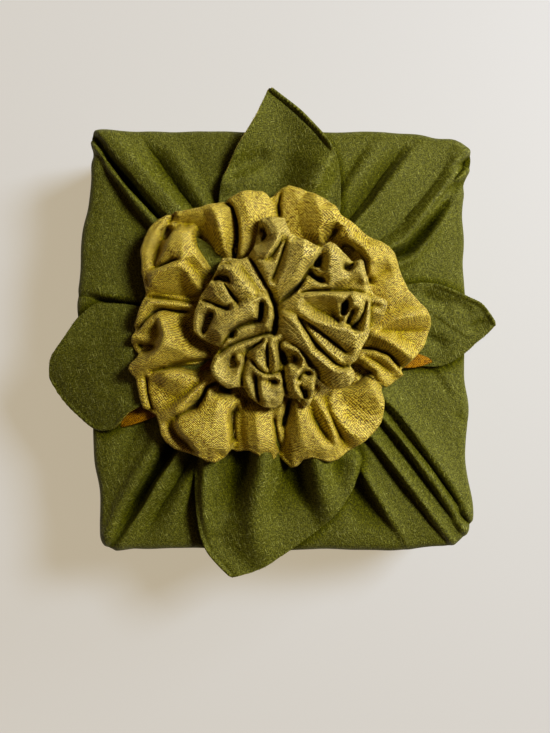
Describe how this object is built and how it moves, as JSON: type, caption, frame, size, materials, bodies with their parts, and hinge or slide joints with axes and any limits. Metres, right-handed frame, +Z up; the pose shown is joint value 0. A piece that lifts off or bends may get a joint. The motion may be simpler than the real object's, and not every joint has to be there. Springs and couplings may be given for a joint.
{
  "type": "furoshiki wrap",
  "caption": "Square two-faced cloth drawn up round a box, knotted on top, its gold back turned out as a ruffled rosette over pointed leaf-like corners.",
  "frame": {"origin": "centre of the bounding box, on the surface that the wrap rests on", "axes": "+Z up through the rosette, +Y towards the back (the top of the picture), +X to the right of it"},
  "size_m": [0.2381, 0.2603, 0.1199],
  "materials": {
    "green_face": "matt slubbed plain weave, moss green",
    "gold_back": "softly lustrous plain weave, gold shot with grey"
  },
  "bodies": {
    "root": {"furoshiki_cloth": "green_face"}
  },
  "joints": []
}
